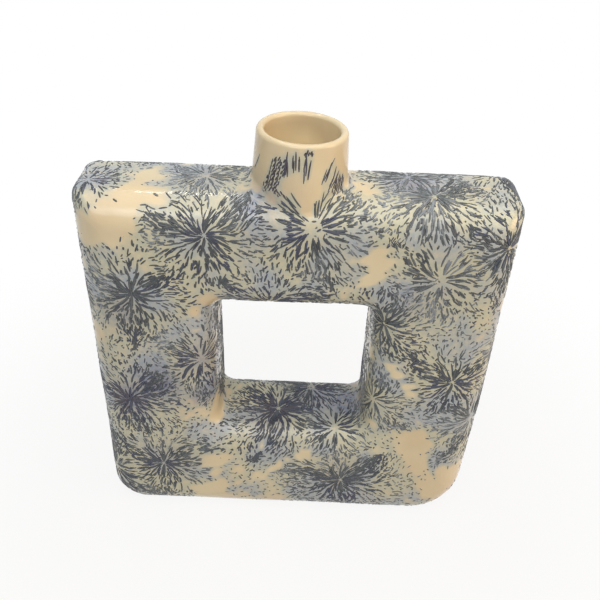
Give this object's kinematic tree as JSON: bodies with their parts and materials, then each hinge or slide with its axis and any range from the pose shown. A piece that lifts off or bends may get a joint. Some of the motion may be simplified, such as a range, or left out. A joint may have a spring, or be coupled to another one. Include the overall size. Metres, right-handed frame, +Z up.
{
  "type": "pillow vase",
  "caption": "Hollow square ring-shaped ceramic vase with a window through its middle, a short round neck with a rolled lip and a flat foot.",
  "frame": {"origin": "on the table, under the middle of the vase", "axes": "+Z up through the neck, front face towards -Y, +X to the right seen from the front"},
  "size_m": [0.203, 0.051, 0.2265],
  "materials": {
    "body_glaze": "gloss cream glaze covered with slate blue bursts of short raised strokes",
    "neck_glaze": "gloss cream glaze with a few slate blue strokes, warm tan inside",
    "luting_slip": "matt fired slip, hidden under the glaze"
  },
  "bodies": {
    "root": {"front_shell": "body_glaze", "rear_shell": "body_glaze", "neck": "neck_glaze", "outer_seam_slip": "luting_slip", "window_seam_slip": "luting_slip", "neck_seam_slip": "luting_slip"}
  },
  "joints": []
}
